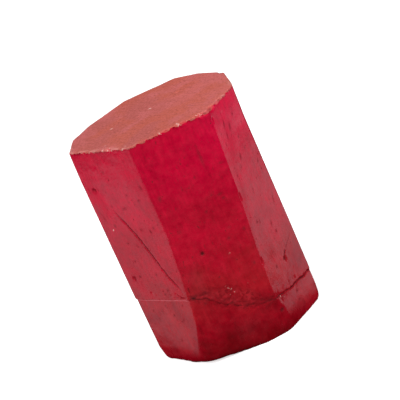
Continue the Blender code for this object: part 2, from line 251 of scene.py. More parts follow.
# Dark spots on each side as (share, height, half width, half height, strength). Those on the pits are painted
# shade in their hollows.
DARK_SPOTS = {
    "left": [
        (0.146, 32.3, 0.25, 0.4, 1.0), (0.083, 27.5, 0.15, 0.9, 0.5), (0.14, 16.1, 0.3, 0.5, 0.6),
        (0.78, 24.4, 0.16, 0.35, 0.8), (0.3, 22.6, 0.18, 0.2, 0.7), (0.63, 24.9, 0.2, 0.3, 0.5),
        (0.44, 22.1, 0.16, 0.2, 0.6), (0.83, 30.0, 0.5, 0.15, 0.45), (0.52, 28.8, 0.5, 0.3, 0.5),
        (0.82, 12.6, 0.3, 0.14, 0.7), (0.98, 32.2, 0.2, 0.4, 0.6), (0.73, 8.2, 0.2, 0.25, 0.7),
        (0.8, 8.0, 1.6, 3.2, 0.2), (0.85, 17.0, 1.2, 3.5, 0.12),
    ],
    "front_left": [
        (0.05, 29.5, 0.3, 0.5, 0.6), (0.735, 32.9, 0.22, 1.9, 0.5), (0.81, 26.1, 0.45, 0.2, 0.6),
        (0.83, 25.3, 0.2, 0.2, 0.6), (0.7, 26.5, 0.3, 0.2, 0.5), (0.57, 30.3, 0.18, 0.2, 0.6),
        (0.56, 24.4, 0.25, 0.25, 0.5), (0.96, 30.7, 0.4, 0.14, 0.7), (0.136, 23.2, 0.3, 0.3, 0.4),
        (0.78, 20.5, 0.3, 0.25, 0.4), (0.33, 18.3, 0.32, 0.3, 1.0), (0.03, 12.2, 0.5, 0.35, 0.9),
        (0.55, 3.6, 3.2, 1.8, 0.25),
    ],
    "front_right": [
        (-0.1, 3.9, 0.34, 0.3, 1.0), (0.3, 35.5, 0.2, 0.8, 0.7), (0.46, 34.4, 0.3, 0.7, 0.6),
        (0.28, 33.5, 0.2, 0.6, 0.5), (0.65, 29.7, 0.2, 0.4, 0.5), (0.43, 29.1, 0.25, 0.5, 0.7),
        (0.34, 27.8, 0.2, 0.3, 0.5), (0.87, 26.2, 0.15, 0.2, 0.9), (0.42, 23.3, 0.2, 0.3, 0.5),
        (0.86, 19.4, 0.2, 0.9, 0.5), (0.29, 18.3, 0.2, 0.4, 0.5), (0.56, 16.4, 0.2, 0.5, 0.5),
        (0.56, 10.0, 0.25, 0.3, 1.0),
    ],
}
# Small dark specks as (share, height, strength).
DARK_SPECKS = {
    "left": [
        (0.77, 8.4, 0.8), (0.26, 16.5, 0.8), (0.68, 13.9, 0.7), (0.29, 19.3, 0.7), (0.6, 13.2, 0.6),
        (0.28, 8.4, 0.6), (0.32, 29.4, 0.6), (0.85, 25.0, 0.6), (0.61, 9.3, 0.6), (0.58, 16.8, 0.6),
        (0.45, 35.4, 0.5), (0.63, 4.7, 0.5), (0.84, 11.1, 0.6), (0.67, 31.1, 0.5), (0.4, 9.9, 0.5),
        (0.21, 25.8, 0.5),
    ],
    "front_left": [(0.96, 19.3, 0.7), (0.73, 18.9, 0.6), (0.95, 13.4, 0.6), (0.16, 10.4, 0.5)],
    "front_right": [
        (0.61, 14.8, 0.8), (0.475, 4.3, 0.7), (0.43, 2.9, 0.6), (0.22, 18.6, 0.7), (0.6, 31.9, 0.6),
        (0.67, 35.6, 0.6), (0.3, 10.2, 0.7),
    ],
}
SPECK_SIZE = 0.24        # half of each way across
# Places that are duller than the rest, as (share, height, half width, half height, strength).
DULL_PATCHES = {
    "left": [
        (0.12, 31.5, 1.5, 4.5, 0.6), (0.92, 34.5, 1.2, 4.0, 0.5), (0.5, 38.6, 6.0, 0.8, 0.6),
        (0.2, 15.5, 1.2, 2.5, 0.4), (0.5, 2.5, 6.0, 1.2, 0.4),
    ],
    "front_left": [(0.13, 14.5, 1.6, 3.0, 0.7)],
    "front_right": [
        (0.32, 33.0, 1.2, 4.5, 0.7), (0.5, 38.2, 4.0, 1.3, 0.9), (0.1, 24.0, 0.9, 7.0, 0.4),
        (0.3, 12.5, 1.0, 1.3, 0.4), (0.45, 2.0, 2.5, 1.2, 0.5),
    ],
}
# Pale flecks as (share, height, half size, strength).
PALE_FLECKS = {
    "left": [
        (0.99, 39.0, 0.24, 1.0), (0.73, 38.8, 0.2, 0.8), (0.7, 39.1, 0.2, 0.7), (0.77, 39.0, 0.16, 0.7),
        (0.61, 39.1, 0.2, 0.6), (0.149, 25.1, 0.17, 0.9), (0.888, 33.5, 0.15, 0.6),
        (0.818, 13.1, 0.2, 0.4),
    ],
    "front_left": [
        (0.607, 39.15, 0.24, 1.0), (0.35, 39.15, 0.3, 0.6), (0.92, 39.0, 0.3, 0.6),
        (0.87, 39.1, 0.25, 0.5), (0.486, 11.7, 0.2, 0.6), (0.51, 11.4, 0.22, 0.7), (0.54, 11.0, 0.2, 0.7),
        (0.587, 10.2, 0.2, 0.8), (0.5, 10.2, 0.2, 0.5), (0.647, 9.5, 0.16, 0.4), (0.784, 10.8, 0.14, 0.7),
        (0.68, 16.5, 0.3, 0.3), (0.044, 35.3, 0.14, 0.6), (0.79, 34.1, 0.22, 0.25),
    ],
    "front_right": [
        (0.38, 37.2, 0.2, 0.5), (0.092, 5.8, 0.2, 0.7), (0.39, 1.7, 0.14, 0.5),
    ],
}
# Pale flecks of the upper end as (x, y, half size, strength).
TOP_FLECKS = [
    (-6.26, 0.53, 0.24, 1.1), (0.57, 2.16, 0.28, 1.2), (-8.0, -6.6, 0.25, 0.6), (4.0, 6.0, 0.2, 0.6),
]

# ---- the camera ----
CAMERA_TILT = math.radians(18.8)
CAMERA_ROLL = math.radians(23.9)
CAMERA_DISTANCE = 0.4
CAMERA_LENS = 224.0
SENSOR = 36.0
AIM_HEIGHT = 0.0196
AIM_RIGHT = 0.00200      # how far the aim lies right of the crystal's axis
AIM_UP = 0.00273         # and above its middle, in the picture

# ---- the floor and the light, in metres and watts ----
FLOOR_SIZE = 6.0
KEY_SIDE = Vector((-0.70, -0.42, 0.58))
FILL_SIDE = Vector((0.74, -0.40, 0.54))
LIGHT_AIM = 0.02         # height that the lamps face
LAMP_DISTANCE = 0.8
LAMP_SIZE = (0.5, 0.5)
KEY_POWER = 4.4
FILL_POWER = 4.4
ROOM_LIGHT = 0.3
# Bright upright cards that show only in the crystal's gloss, as a studio's white walls do: corners as (y, z)
# and brightness as (z, value).
CARDS = {
    "card_left": {
        "x": -0.12,
        "corners": [(0.03, -0.062), (0.1, -0.062), (0.1, 0.003), (-0.1, 0.003), (-0.1, -0.012), (0.0, -0.02),
                    (0.012, -0.03), (0.02, -0.04)],
        "brightness": [(-0.046, 0.03), (-0.0435, 0.1), (-0.0415, 0.33), (-0.038, 0.41), (-0.012, 0.41),
                       (0.0, 0.5)],
    },
    "card_right": {
        "x": 0.12,
        "corners": [(0.006, -0.0455), (0.016, -0.0455), (0.02, -0.05), (0.03, -0.054), (0.09, -0.054),
                    (0.09, 0.0), (0.006, 0.0)],
        "brightness": [(-0.054, 0.05), (-0.048, 0.2), (-0.041, 0.54), (-0.02, 0.54), (-0.0135, 0.45),
                       (-0.0115, 0.27), (-0.008, 0.2), (0.0, 0.1)],
    },
}
CARD_COLOUR = (1, 0.95, 1.04, 1)


def along_side(table, side, share, plain=0.0):
    """The value of one of the tables above at places along a side."""
    points = table.get(side, [(0, plain), (1, plain)])
    if points[-1][0] < 1:
        points = points + [(1, table[next_side(side)][0][1])]
    shares, values = zip(*points)
    return np.interp(share, shares, values)


def unit(vectors):
    """The same directions with a length of 1."""
    return vectors / np.linalg.norm(vectors, axis=-1, keepdims=True)


def edge_at(side, heights):
    """The long edge that a side starts from, at the given heights."""
    z, x, y = zip(*LONG_EDGES[side])
    return np.stack([np.interp(heights, z, x), np.interp(heights, z, y)], axis=-1)


def next_side(side, step=1):
    """The side that follows, or with a step of -1 the one before."""
    return SIDES[(SIDES.index(side) + step) % len(SIDES)]


def side_directions(side, heights):
    """The direction along a side at the given heights."""
    return unit(edge_at(next_side(side), heights) - edge_at(side, heights))


def outward_of(along):
    """The outward direction of a side that runs this way."""
    return np.stack([along[..., 1], -along[..., 0]], axis=-1)


def corner_shift(before, after, inset):
    """How far a corner moves along its next side when both of its sides move in."""
    turn = np.arccos(np.clip((before * after).sum(axis=-1), -1, 1))
    return inset * np.tan(turn / 2)


def edge_wear(side, heights):
    """Half the width of the worn strip at the long edge that a side starts from."""
    levels, extra = zip(*EXTRA_WEAR.get(side, [(0, 0.0)]))
    return EDGE_WEAR + np.interp(heights, levels, extra)


def face_points(side, shares, heights, inset, worn=1.0):
    """Points on a side of the prism, set in from it, and the side's outward directions."""
    start, end = edge_at(side, heights), edge_at(next_side(side), heights)
    along = unit(end - start)
    outward = outward_of(along)
    length = np.linalg.norm(end - start, axis=-1)
    first = worn * edge_wear(side, heights)
    first = first + corner_shift(side_directions(next_side(side, -1), heights), along, inset)
    last = length - worn * edge_wear(next_side(side), heights)
    last = last - corner_shift(along, side_directions(next_side(side), heights), inset)
    place = start + along * (first + shares * (last - first))[..., None] - outward * inset[..., None]
    return place, outward


def columns():
    """The outline as arrays: side number, share along it, and the turn round the corner that follows."""
    sides, shares, turns = [], [], []
    for number, side in enumerate(SIDES):
        length = np.linalg.norm(edge_at(next_side(side), MIDDLE) - edge_at(side, MIDDLE))
        count = round(length / (FRONT_SPACING if side in FRONT_SIDES else BACK_SPACING))
        steps = WIDE_CORNER_STEPS.get(next_side(side), CORNER_STEPS)
        sides += [number] * (count + 1 + steps)
        shares += list(np.linspace(0, 1, count + 1)) + [1.0] * steps
        turns += [0.0] * (count + 1) + [step / (steps + 1) for step in range(1, steps + 1)]
    return np.array(sides), np.array(shares), np.array(turns)


def per_column(table, sides, shares, plain=0.0):
    """The value of a table at every column."""
    values = np.zeros(len(sides))
    for number, side in enumerate(SIDES):
        here = sides == number
        values[here] = along_side(table, side, shares[here], plain)
    return values


def wobble(points, scale, octaves=3, offset=0.0):
    """Smooth noise between about -1 and 1 at each point, in millimetres."""
    flat = points.reshape(-1, points.shape[-1])
    shift = Vector((offset, 1.7 * offset, -offset))
    values = [
        noise.fractal(Vector(point) * scale + shift, 0.9, 2.0, octaves, noise_basis="PERLIN_NEW")
        for point in flat
    ]
    return np.array(values).reshape(points.shape[:-1])


def skin_points(sides, shares, turns, heights, inset):
    """The skin's points on the prism, (rows, columns, 3), and the way each one faces."""
    points = np.zeros(heights.shape + (3,))
    facing = np.zeros(heights.shape + (3,))
    points[..., 2] = heights
    for number, side in enumerate(SIDES):
        flat = (sides == number) & (turns == 0)
        points[:, flat, :2], facing[:, flat, :2] = face_points(
            side, shares[flat], heights[:, flat], inset[:, flat])
        bend = (sides == number) & (turns > 0)
        level, depth, turn = heights[:, bend], inset[:, bend], turns[bend][:, None]
        before, out_before = face_points(side, 1.0, level, depth)
        corner, _ = face_points(side, 1.0, level, depth, worn=0.0)
        after, out_after = face_points(next_side(side), 0.0, level, depth)
        points[:, bend, :2] = (1 - turn) ** 2 * before + 2 * turn * (1 - turn) * corner + turn**2 * after
        facing[:, bend, :2] = unit((1 - turn) * out_before + turn * out_after)
    return points, facing


def row_heights(fracture):
    """Every row's height at every column: close together round the fracture and at the upper rim."""
    low, high = fracture - BAND, fracture + BAND
    top = HEIGHT - RIM_ROUND
    rows = [low * share for share in np.linspace(0, 1, LOW_ROWS, endpoint=False) ** LOW_ROW_CROWDING]
    rows += [low + (high - low) * share for share in np.linspace(0, 1, BAND_ROWS, endpoint=False)]
    rows += [high + (top - high) * share for share in np.linspace(0, 1, HIGH_ROWS)]
    rows += [top + RIM_ROUND * math.sin(math.pi / 2 * turn / RIM_ROWS) + 0 * low
             for turn in range(1, RIM_ROWS + 1)]
    return np.array(rows)


def rim_inset(heights):
    """How far the rounded upper rim is set in."""
    rise = np.clip((heights - HEIGHT + RIM_ROUND) / RIM_ROUND, 0, 1)
    return RIM_ROUND * (1 - np.sqrt(1 - rise**2))


def bow(sides, shares, heights):
    """The right front side curves away towards its far edge, most at the top."""
    along_front = np.clip((shares - BOW_START) / (1 - BOW_START), 0, 1)
    reach = np.where(sides == SIDES.index("front_right"), along_front, 0)
    reach = np.where(sides == SIDES.index("right"), np.clip(1 - 5 * shares, 0, 1), reach)
    return BOW * reach**2 * (0.3 + 0.7 * (heights / HEIGHT) ** 2)


def smoothed(values, reach=6):
    """Values round the outline, evened out over their neighbours."""
    wrapped = np.r_[values[-reach:], values, values[:reach]]
    return np.convolve(wrapped, np.ones(2 * reach + 1) / (2 * reach + 1), mode="valid")


def crack_field(points):
    """The signed distance to the nearest crack, how deep it is cut there, and how strong the crack is."""
    flat = points.reshape(-1, 3)
    nearest = np.full(len(flat), FAR)
    signed = np.full(len(flat), FAR)
    strength = np.zeros(len(flat))
    depth = np.zeros(len(flat))
    ragged = CRACK_WANDER * wobble(flat, 0.9, 3, 5.0)
    for side, deep, half_width, darkness, line in CRACKS:
        level = np.array([height for _, height in line])
        share = np.array([share for share, _ in line])
        place, outward = face_points(side, share, level, 0 * level)
        knots = np.column_stack([place, level])
        facing = np.array([*outward.mean(axis=0), 0.0])
        lengths = np.r_[0, np.cumsum(np.linalg.norm(np.diff(knots, axis=0), axis=1))]
        for index in range(len(knots) - 1):
            run = knots[index + 1] - knots[index]
            share_on = np.clip((flat - knots[index]) @ run / (run @ run), 0, 1)
            away = flat - (knots[index] + share_on[:, None] * run)
            across = np.cross(run / np.linalg.norm(run), facing)
            distance = np.linalg.norm(away, axis=1)
            closer = distance < nearest
            nearest[closer] = distance[closer]
            signed[closer] = (distance * np.sign(away @ across))[closer] + ragged[closer]
            travelled = (lengths[index] + share_on * np.linalg.norm(run)) / lengths[-1]
            fade = np.clip(6 * np.minimum(travelled, 1 - travelled) + 0.1, 0, 1)
            strength[closer] = darkness * fade[closer] * (distance[closer] < CRACK_REACH)
            reach = np.clip(1 - np.abs(signed) / half_width, 0, 1)
            depth[closer] = (deep * fade * reach**1.5)[closer]
    shape = points.shape[:-1]
    return signed.reshape(shape), depth.reshape(shape), strength.reshape(shape)


def scoop(points, centre, outward, half_width, depth, stretch=(0, 0, 1), longer=1.0):
    """Cuts a round-bottomed chip: what lies inside a ball goes back to the ball's far side.

    Returns how far each point belongs to the chip, from 0 to 1.
    """
    outward, stretch = unit(np.array(outward, float)), unit(np.array(stretch, float))
    radius = (half_width**2 + depth**2) / (2 * depth)
    offset = points - (centre + outward * (radius - depth))
    offset -= (offset @ stretch)[..., None] * stretch * (1 - 1 / longer)
    along = offset @ outward
    inside = radius**2 - (offset**2).sum(axis=-1)
    shift = np.where((inside > 0) & (along < 0.5 * radius + 9 * depth), along, 0.0)
    shift = np.where(inside > 0, shift + np.sqrt(np.maximum(along**2 + inside, 0)), 0.0)
    points -= shift[..., None] * outward
    return np.clip(shift / CUT_MARKED, 0, 1)


def side_place(side, share, height):
    """A point on a side, and the side's outward direction, for one share and height."""
    place, outward = face_points(side, np.array(share), np.array(float(height)), np.array(0.0))
    return np.array([*place, height]), np.array([*outward, 0.0])


def rim_nibbles(rng):
    """Many small chips all round the upper rim, as (side, share, half width, depth)."""
    chips = []
    for side in SIDES:
        length = float(np.linalg.norm(edge_at(next_side(side), HEIGHT) - edge_at(side, HEIGHT)))
        for _ in range(round(length * RIM_NIBBLES)):
            size = 0.18 + 0.3 * rng.random() ** 2
            chips.append((side, rng.random(), size, 0.35 * size))
    return chips


def edge_nibbles(rng):
    """Small chips down the long edges, as (side, height, half width, depth)."""
    chips = []
    for side in SIDES:
        front = side in FRONT_SIDES
        for _ in range(FRONT_NICKS if front else BACK_NICKS):
            size = 0.16 + (0.1 if front else 0.5) * rng.random() ** 2
            lowest = 8.0 if front else 1.0
            chips.append((side, rng.uniform(lowest, 38.0), size, 0.1 + 0.1 * rng.random()))
    return chips


def fracture_chips(rng):
    """Flakes broken out along the fracture, as (side, share, height, half width, depth)."""
    chips = []
    for side in SIDES:
        crumbled = along_side(RUBBLE, side, 0.5, PLAIN_RUBBLE)
        for _ in range(round(FLAKES * crumbled)):
            share = rng.random()
            height = along_side(FRACTURE, side, share) + rng.normal(0, 0.55)
            half_width = FLAKE_SIZE.get(side, 1.0) * (0.2 + 0.4 * rng.random() ** 2)
            chips.append((side, share, height, half_width, (0.14 + 0.2 * rng.random()) * half_width))
    return chips


def cut_chips(points, marks, rng):
    """Cuts every pit and chip, and marks the flakes and the rim's chips."""
    for side, share, height, half_size, depth in PITS:
        place, outward = side_place(side, share, height)
        scoop(points, place, outward, half_size, depth)
    for side, share, height, half_width, depth in fracture_chips(rng):
        place, outward = side_place(side, share, height)
        lean = np.cross(outward, [0, 0, 1]) * rng.uniform(-0.3, 0.3)
        lean += np.array([0, 0, rng.uniform(-0.3, 0.3)])
        cut = scoop(points, place, outward + lean, half_width, depth)
        marks["flake"] = np.maximum(marks["flake"], cut)
    for side, share, half_width, depth in RIM_CHIPS + rim_nibbles(rng):
        place, outward = side_place(side, share, HEIGHT)
        tilt = np.array([0, 0, 0.5 + 0.8 * rng.random()])
        along = np.cross(outward, [0, 0, 1])
        cut = scoop(points, place, outward + tilt, half_width, depth, along, 1.0 + rng.random())
        marks["chip"] = np.maximum(marks["chip"], cut)
    for side, height, half_width, depth in edge_nibbles(rng):
        place, outward = side_place(side, 0.0, height)
        before = side_place(next_side(side, -1), 1.0, height)[1]
        lean = rng.uniform(-0.4, 0.4)
        facing = (1 + lean) * outward + (1 - lean) * before
        scoop(points, place, facing, half_width, depth, longer=1.5 + 3.0 * rng.random())
    for x, y, half_size, depth in TOP_PITS:
        scoop(points, np.array([x, y, HEIGHT]), (0, 0, 1), half_size, depth)


def paint(points, mark, centre, outward, half_width, half_height, strength):
    """Marks a soft oval spot on the face at a place."""
    across = unit(np.cross(outward, [0.0, 0.31, 1.0]))
    upwards = np.cross(outward, across)
    offset = points - centre
    far = ((offset @ across) / half_width) ** 2 + ((offset @ upwards) / half_height) ** 2
    near_face = np.abs(offset @ outward) < 1.0
    np.maximum(mark, strength * np.exp(-far) * near_face, out=mark)


def paint_spots(points, marks):
    """Marks every dark spot, dark speck, dull patch and pale fleck."""
    tables = [("dark", DARK_SPOTS), ("dark", DARK_SPECKS), ("dull", DULL_PATCHES), ("pale", PALE_FLECKS)]
    for mark, table in tables:
        for side, spots in table.items():
            for share, height, *size, strength in spots:
                # One size stands for both half width and half height, and a speck gives none.
                size = size or [SPECK_SIZE]
                place, outward = side_place(side, share, height)
                paint(points, marks[mark], place, outward, size[0], size[-1], strength)
    for x, y, half_size, strength in TOP_FLECKS:
        place = np.array([x, y, HEIGHT])
        paint(points, marks["pale"], place, np.array([0.0, 0.0, 1.0]), half_size, half_size, strength)


def cap(ring, spacing, height, rng):
    """Fills a ring with evenly spread points and triangles: (points, triangles).

    The triangles number the ring's points first and then the new ones.
    """
    low, high = ring.min(axis=0), ring.max(axis=0)
    rise = spacing * TRIANGLE_RISE
    stray = CAP_JITTER
    inner = []
    for row in range(int((high[1] - low[1]) / rise) + 1):
        y = low[1] + row * rise
        for x in np.arange(low[0] + (row % 2) * spacing / 2, high[0], spacing):
            inner.append((x + rng.uniform(-stray, stray) * spacing, y + rng.uniform(-stray, stray) * spacing))
    inner = np.array(inner)
    inner = inner[depth_inside(inner, ring) > CAP_MARGIN * spacing]
    corners = [Vector(point) for point in [*ring, *inner]]
    outline = [list(range(len(ring)))]
    _, _, faces, origins, _, _ = geometry.delaunay_2d_cdt(corners, [], outline, 1, 1e-7)
    back = [origin[0] for origin in origins]
    triangles = [[back[corner] for corner in face] for face in faces]
    return np.column_stack([inner, np.full(len(inner), height)]), triangles


def depth_inside(points, ring):
    """How far inside a convex ring each point lies."""
    after = np.roll(ring, -1, axis=0)
    long_enough = np.linalg.norm(after - ring, axis=1) > 1e-6
    inward = -outward_of(unit((after - ring)[long_enough]))
    distance = ((points[:, None, :] - ring[long_enough][None]) * inward[None]).sum(axis=-1)
    return distance.min(axis=1)


def column_values(sides, shares, flat_place):
    """What the tables say at every column, with the fracture and its crushed band made ragged."""
    ragged = per_column(RAGGED, sides, shares, PLAIN_RAGGED)
    crushed = per_column(CRUSHED, sides, shares)
    return {
        "fracture": per_column(FRACTURE, sides, shares) + ragged * wobble(flat_place, 0.6, 5),
        "rubble": smoothed(per_column(RUBBLE, sides, shares, PLAIN_RUBBLE)),
        "opening": smoothed(per_column(OPENING, sides, shares)),
        "step": per_column(STEP, sides, shares),
        "foot": smoothed(per_column(FOOT, sides, shares)),
        "undercut": per_column(UNDERCUT, sides, shares),
        "ledge_highlight": per_column(LEDGE_HIGHLIGHT_STRENGTH, sides, shares),
        "crushed": crushed + np.clip(crushed, 0, 0.6) * wobble(flat_place, 0.5, 4, 21.0),
    }


def side_inset(at, sides, shares, flat_place, heights, in_band):
    """How far every point of the sides is set in, before the cracks, pits and chips."""
    gap = heights - at["fracture"]
    spread = np.stack(np.broadcast_arrays(flat_place[:, 0], flat_place[:, 1], heights), axis=-1)
    foot = at["foot"] + np.clip(0.4 * at["foot"], 0, 0.25) * wobble(flat_place, 0.35, 3, 8.0)
    inset = np.where(gap < 0, at["step"], 0.0)
    inset += foot * np.exp(-heights / FOOT_FALL)
    inset += at["undercut"] * np.clip(1 - heights / UNDERCUT_HEIGHT, 0, 1) ** 2
    inset += rim_inset(heights) + bow(sides, shares, heights)
    inset += GROOVE_DEPTH * at["opening"] * np.exp(-(gap / GROOVE_WIDTH) ** 2)
    crumble = CRUMBLE_DEPTH * at["rubble"] * np.exp(-(gap / CRUMBLE_REACH) ** 2)
    inset += crumble * np.abs(wobble(spread, 0.9, 4, 3.0))
    inset += in_band * (CRUSH_DEPTH + CRUSH_RELIEF * wobble(spread, 0.6, 3, 31.0))
    return inset


def side_marks(at, gap, in_band, crack, crack_strength):
    """The marks that only the sides have, as (values at their points, value at the two ends)."""
    # Where the painted shadow lies along the crushed band's upper edge.
    band_edge_shadow = np.exp(-((gap - at["crushed"]) / BAND_SHADOW_WIDTH) ** 2) * np.clip(at["crushed"] - 0.4, 0, 1)
    return {
        "crack": (crack, FAR),
        "crack_strength": (crack_strength, 0.0),
        "gap": (gap, FAR),
        "opening": (at["opening"], 0.0),
        "rubble": (at["rubble"] * np.exp(-(gap / 0.9) ** 2), 0.0),
        "crushed": (in_band, 0.0),
        "band_edge_shadow": (band_edge_shadow, 0.0),
        "ledge": (at["ledge_highlight"], 0.0),
    }


def mark_rim(marks, heights, top, ring):
    """Marks the upper end and the rim round it."""
    rows, count = heights.shape
    side_size = rows * count
    top_end = side_size + len(top)
    marks["upper_end"][:side_size] = np.clip((heights.ravel() - HEIGHT) / RIM_BLEND + 1, 0, 1)
    marks["upper_end"][side_size - count:top_end] = 1.0
    marks["rim"][:side_size] = np.exp(-((HEIGHT - heights.ravel()) / 0.35) ** 2)
    marks["rim"][side_size:top_end] = np.exp(-(depth_inside(top[:, :2], ring) / 0.3) ** 2)


def skin_faces(rows, count, top_size, base_size, top_faces, base_faces):
    """Quads round the sides and the triangles of both ends; the ends' points follow the sides'."""
    index = np.arange(rows * count).reshape(rows, count)
    after = np.roll(index, -1, axis=1)
    quads = np.stack([index[:-1], after[:-1], after[1:], index[1:]], axis=-1).reshape(-1, 4)
    top_start = index.size
    base_start = top_start + top_size
    top_index = index[-1].tolist() + list(range(top_start, base_start))
    base_index = index[0].tolist() + list(range(base_start, base_start + base_size))
    faces = quads.tolist()
    faces += [[top_index[corner] for corner in face] for face in top_faces]
    faces += [[base_index[corner] for corner in reversed(face)] for face in base_faces]
    return faces


def crystal_shape():
    """The whole skin: its points in millimetres, its faces, and the marks that the finish uses."""
    rng = np.random.default_rng(SEED)
    sides, shares, turns = columns()
    level = np.full((1, len(sides)), OUTLINE_HEIGHT)
    flat_place = skin_points(sides, shares, turns, level, 0 * level)[0][0] * (1, 1, 0)
    at = column_values(sides, shares, flat_place)
    heights = row_heights(at["fracture"])
    gap = heights - at["fracture"]
    in_band = np.clip(gap / CRUSH_START, 0, 1) * np.clip((at["crushed"] - gap) / CRUSH_END, 0, 1)
    inset = side_inset(at, sides, shares, flat_place, heights, in_band)
    points, facing = skin_points(sides, shares, turns, heights, inset)
    crack, crack_depth, crack_strength = crack_field(points)
    swell = WIDE_SWELL * wobble(points, 0.11, 2, 11.0) + FINE_SWELL * wobble(points, 0.6, 3, 2.0)
    points -= facing * (crack_depth + np.maximum(swell, -0.05))[..., None]

    ring = points[-1, :, :2]
    top, top_faces = cap(ring, CAP_SPACING, HEIGHT, rng)
    base, base_faces = cap(points[0, :, :2], BASE_SPACING, 0.0, rng)
    every = np.concatenate([points.reshape(-1, 3), top, base])
    marks = {name: np.zeros(len(every)) for name in MARK_NAMES}
    cut_chips(every, marks, rng)
    paint_spots(every, marks)
    every[:, 2] = np.clip(every[:, 2], 0, HEIGHT)
    mark_rim(marks, heights, top, ring)
    for name, (values, at_ends) in side_marks(at, gap, in_band, crack, crack_strength).items():
        marks[name] = np.full(len(every), at_ends)
        marks[name][:heights.size] = np.broadcast_to(values, heights.shape).ravel()
    faces = skin_faces(*heights.shape, len(top), len(base), top_faces, base_faces)
    return every, faces, marks


def new_object(name, data):
    """A new object in the scene."""
    item = bpy.data.objects.new(name, data)
    bpy.context.scene.collection.objects.link(item)
    return item


def panel(name, corners, material):
    """A flat panel with these corners."""
    mesh = bpy.data.meshes.new(name)
    mesh.from_pydata(corners, [], [range(len(corners))])
    mesh.materials.append(material)
    return new_object(name, mesh)


def build_crystal():
    """The skin as an object, with its marks as attributes and its finish."""
    points, faces, marks = crystal_shape()
    mesh = bpy.data.meshes.new("ruby_crystal_skin")
    mesh.from_pydata((points * MM).tolist(), [], faces)
    mesh.validate()
    mesh.shade_smooth()
    for name, values in marks.items():
        mesh.attributes.new(name, "FLOAT", "POINT").data.foreach_set("value", values.astype(np.float32))
    mesh.materials.append(ruby_material())
    return new_object("crystal_skin", mesh)


class Nodes:
    """Short ways to add and link shader nodes."""

    def __init__(self, name):
        self.material = bpy.data.materials.new(name)
        self.material.use_nodes = True
        self.tree = self.material.node_tree
        self.shader = self.tree.nodes["Principled BSDF"]

    def add(self, kind, **settings):
        """A new node with these settings."""
        node = self.tree.nodes.new(kind)
        for name, value in settings.items():
            setattr(node, name, value)
        return node

    def put(self, socket, value):
        """Links a socket to the input, or sets a plain value there."""
        if isinstance(value, bpy.types.NodeSocket):
            self.tree.links.new(value, socket)
        else:
            socket.default_value = value

    def shade(self, settings):
        """Links or sets inputs of the shader by name."""
        for name, value in settings.items():
            self.put(self.shader.inputs[name], value)

    def math(self, operation, *values, clamp=False):
        """The result of one sum on up to three values."""
        node = self.add("ShaderNodeMath", operation=operation, use_clamp=clamp)
        for socket, value in zip(node.inputs, values):
            self.put(socket, value)
        return node.outputs[0]

    def times(self, first, second):
        """One value multiplied by another."""
        return self.math("MULTIPLY", first, second)

    def axes(self, place):
        """The x, y and z of a place, by name."""
        node = self.add("ShaderNodeSeparateXYZ")
        self.put(node.inputs[0], place)
        return node.outputs

    def ramp(self, value, low, high, out_low=0.0, out_high=1.0):
        """The value, from low to high, as out_low to out_high: smooth, and held at the ends."""
        node = self.add("ShaderNodeMapRange", interpolation_type="SMOOTHSTEP")
        for socket, given in zip(node.inputs, (value, low, high, out_low, out_high)):
            self.put(socket, given)
        return node.outputs[0]

    def levels(self, value, points):
        """The value of a line of (place, value) points, straight between them and held at the ends."""
        total = points[0][1]
        for (low, before), (high, after) in zip(points, points[1:]):
            step = self.add("ShaderNodeMapRange")
            for socket, given in zip(step.inputs, (value, low, high, 0.0, after - before)):
                self.put(socket, given)
            total = self.math("ADD", total, step.outputs[0])
        return total

    def mix(self, share, first, second):
        """The first colour blended into the second by a share from 0 to 1."""
        node = self.add("ShaderNodeMix", data_type="RGBA")
        self.put(node.inputs["Factor"], share)
        self.put(node.inputs[6], first)
        self.put(node.inputs[7], second)
        return node.outputs[2]

    def place(self, size=(1.0, 1.0, 1.0), turn=0.0):
        """The place on the crystal in units of the given sizes in millimetres, turned about the long axis."""
        coordinates = self.add("ShaderNodeTexCoord")
        mapping = self.add("ShaderNodeMapping", vector_type="TEXTURE")
        self.put(mapping.inputs["Vector"], coordinates.outputs["Object"])
        mapping.inputs["Rotation"].default_value = (0, 0, turn)
        mapping.inputs["Scale"].default_value = [length * MM for length in size]
        return mapping.outputs[0]

    def noise(self, place, scale, detail=3.0, roughness=0.5, distortion=0.0):
        """Cloudy noise from 0 to 1 at a place."""
        node = self.add("ShaderNodeTexNoise")
        self.put(node.inputs["Vector"], place)
        node.inputs["Scale"].default_value = scale
        node.inputs["Detail"].default_value = detail
        node.inputs["Roughness"].default_value = roughness
        node.inputs["Distortion"].default_value = distortion
        return node.outputs["Fac"]

    def mark(self, name):
        """One of the marks that the mesh carries."""
        return self.add("ShaderNodeAttribute", attribute_name=name).outputs["Fac"]


# Crimsons from the top down to the base; their darkening downwards is partly painted shade.
RUBY_BRIGHT = (0.64, 0.0008, 0.034, 1)
RUBY_MIDDLE = (0.53, 0.0040, 0.023, 1)
RUBY_WARM = (0.46, 0.0085, 0.018, 1)
RUBY_BLOCK = (0.37, 0.0012, 0.011, 1)
RUBY_LOW = (0.25, 0.0006, 0.005, 1)
RUBY_DEEP = (0.27, 0.001, 0.007, 1)
RUBY_DARK = (0.09, 0.001, 0.004, 1)
RUBY_FLECK = (0.13, 0.001, 0.004, 1)
# Dark of the crushed rim, partly painted shade.
RUBY_RIM_CRUSH_AND_SHADE = (0.17, 0.001, 0.006, 1)
# Painted glow: light shining through the stone's top right.
RUBY_PAINTED_GLOW = (0.78, 0.001, 0.05, 1)
UPPER_END = (0.585, 0.127, 0.108, 1)
UPPER_END_LIGHT = (0.74, 0.16, 0.14, 1)
UPPER_END_WARM = (0.66, 0.13, 0.08, 1)
UPPER_END_PINK = (0.72, 0.165, 0.165, 1)
UPPER_END_DARK = (0.42, 0.085, 0.072, 1)
PALE = (0.95, 0.52, 0.46, 1)
